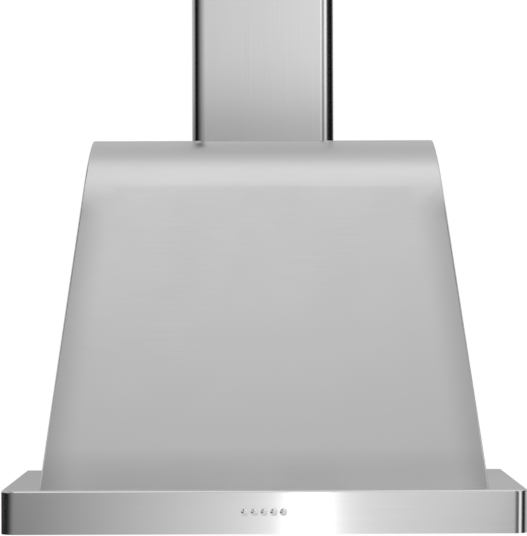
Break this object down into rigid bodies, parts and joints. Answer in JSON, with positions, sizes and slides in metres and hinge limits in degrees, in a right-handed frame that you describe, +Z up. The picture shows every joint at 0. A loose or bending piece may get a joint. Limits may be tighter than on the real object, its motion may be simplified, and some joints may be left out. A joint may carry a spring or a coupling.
{
  "type": "range hood",
  "caption": "Wall-mounted chimney range hood: tapered steel canopy on a flat base with push buttons, telescopic chimney cover, baffle filters, lamps and a blower.",
  "frame": {"origin": "midway between the two wall hook slots, on the wall plane", "axes": "+X to the right seen from the front, +Y towards the wall, +Z up"},
  "size_m": [0.9, 0.5035, 1.194],
  "materials": {
    "hood_steel": "brushed stainless steel",
    "galvanised_steel": "plain galvanised steel",
    "filter_steel": "satin stainless steel",
    "polished_trim": "polished steel",
    "polished_button": "polished steel",
    "bright_steel": "bright zinc-plated steel",
    "lamp_glass": "frosted glass",
    "bulb_glass": "clear glass",
    "black_plastic": "moulded black plastic",
    "grey_plastic": "moulded grey plastic",
    "circuit_board": "green laminate",
    "motor_casing": "dark grey enamel",
    "capacitor_can": "drawn aluminium",
    "magnet_case": "black plastic over a magnet",
    "seal_rubber": "soft black rubber"
  },
  "bodies": {
    "hood": {"base_shell": "hood_steel", "blower_screws": "bright_steel", "blower_shell_left": "black_plastic", "blower_shell_right": "black_plastic", "box_screws": "bright_steel", "cable_gland": "black_plastic", "canopy_screws": "bright_steel", "canopy_shell": "hood_steel", "chimney_screws": "bright_steel", "collar_gasket": "seal_rubber", "damper_pins": "bright_steel", "filter_magnets": "magnet_case", "foot_bracket_left": "galvanised_steel", "foot_bracket_right": "galvanised_steel", "gland_nut": "black_plastic", "lamp_left_bezel": "polished_trim", "lamp_left_bulb": "bulb_glass", "lamp_left_housing": "galvanised_steel", "lamp_left_lens": "lamp_glass", "lamp_right_bezel": "polished_trim", "lamp_right_bulb": "bulb_glass", "lamp_right_housing": "galvanised_steel", "lamp_right_lens": "lamp_glass", "lower_chimney_cover": "hood_steel", "motor_body": "motor_casing", "motor_capacitor": "capacitor_can", "motor_spider": "galvanised_steel", "outlet_collar": "black_plastic", "panel_screws": "bright_steel", "suction_panel": "hood_steel", "switch_board": "circuit_board", "switch_bodies": "black_plastic", "switch_carrier": "black_plastic", "terminal_block": "grey_plastic", "terminal_box": "black_plastic", "terminal_box_lid": "black_plastic", "wall_plate": "galvanised_steel"},
    "chimney_top": {"upper_chimney_cover": "hood_steel", "wall_bracket": "galvanised_steel", "upper_cover_screws": "bright_steel"},
    "rotor": {"impeller": "grey_plastic", "rotor_shaft": "bright_steel", "wheel_nut": "bright_steel"},
    "flap_front": {"damper_flap_front": "grey_plastic"},
    "flap_rear": {"damper_flap_rear": "grey_plastic"},
    "button_1": {"button_1": "polished_button"},
    "button_2": {"button_2": "polished_button"},
    "button_3": {"button_3": "polished_button"},
    "button_4": {"button_4": "polished_button"},
    "button_5": {"button_5": "polished_button"},
    "filter_left": {"filter_left_frame": "filter_steel", "filter_left_baffles": "filter_steel", "filter_left_pull": "polished_trim"},
    "filter_middle": {"filter_middle_frame": "filter_steel", "filter_middle_baffles": "filter_steel", "filter_middle_pull": "polished_trim"},
    "filter_right": {"filter_right_frame": "filter_steel", "filter_right_baffles": "filter_steel", "filter_right_pull": "polished_trim"}
  },
  "joints": [
    {"name": "chimney_extend", "type": "slide", "parent": "hood", "child": "chimney_top", "axis": [0, 0, 1], "range_m": [-0.115, 0.17]},
    {"name": "blower_spin", "type": "hinge", "parent": "hood", "child": "rotor", "pos_m": [0, -0.1064, -0.025], "axis": [1, 0, 0], "continuous": true},
    {"name": "flap_front_open", "type": "hinge", "parent": "hood", "child": "flap_front", "pos_m": [0, -0.1436, 0.1525], "axis": [-1, 0, 0], "range_deg": [0, 80]},
    {"name": "flap_rear_open", "type": "hinge", "parent": "hood", "child": "flap_rear", "pos_m": [0, -0.1364, 0.1525], "axis": [1, 0, 0], "range_deg": [0, 80]},
    {"name": "button_1_push", "type": "slide", "parent": "hood", "child": "button_1", "axis": [0, 1, 0], "range_m": [0, 0.0025], "stiffness_N_per_m": 400, "springref_m": -0.0025},
    {"name": "button_2_push", "type": "slide", "parent": "hood", "child": "button_2", "axis": [0, 1, 0], "range_m": [0, 0.0025], "stiffness_N_per_m": 400, "springref_m": -0.0025},
    {"name": "button_3_push", "type": "slide", "parent": "hood", "child": "button_3", "axis": [0, 1, 0], "range_m": [0, 0.0025], "stiffness_N_per_m": 400, "springref_m": -0.0025},
    {"name": "button_4_push", "type": "slide", "parent": "hood", "child": "button_4", "axis": [0, 1, 0], "range_m": [0, 0.0025], "stiffness_N_per_m": 400, "springref_m": -0.0025},
    {"name": "button_5_push", "type": "slide", "parent": "hood", "child": "button_5", "axis": [0, 1, 0], "range_m": [0, 0.0025], "stiffness_N_per_m": 400, "springref_m": -0.0025},
    {"name": "filter_left_drop", "type": "hinge", "parent": "hood", "child": "filter_left", "pos_m": [-0.265, -0.071, -0.5427], "axis": [1, 0, 0], "range_deg": [0, 75]},
    {"name": "filter_middle_drop", "type": "hinge", "parent": "hood", "child": "filter_middle", "pos_m": [0, -0.071, -0.5427], "axis": [1, 0, 0], "range_deg": [0, 75]},
    {"name": "filter_right_drop", "type": "hinge", "parent": "hood", "child": "filter_right", "pos_m": [0.265, -0.071, -0.5427], "axis": [1, 0, 0], "range_deg": [0, 75]}
  ]
}
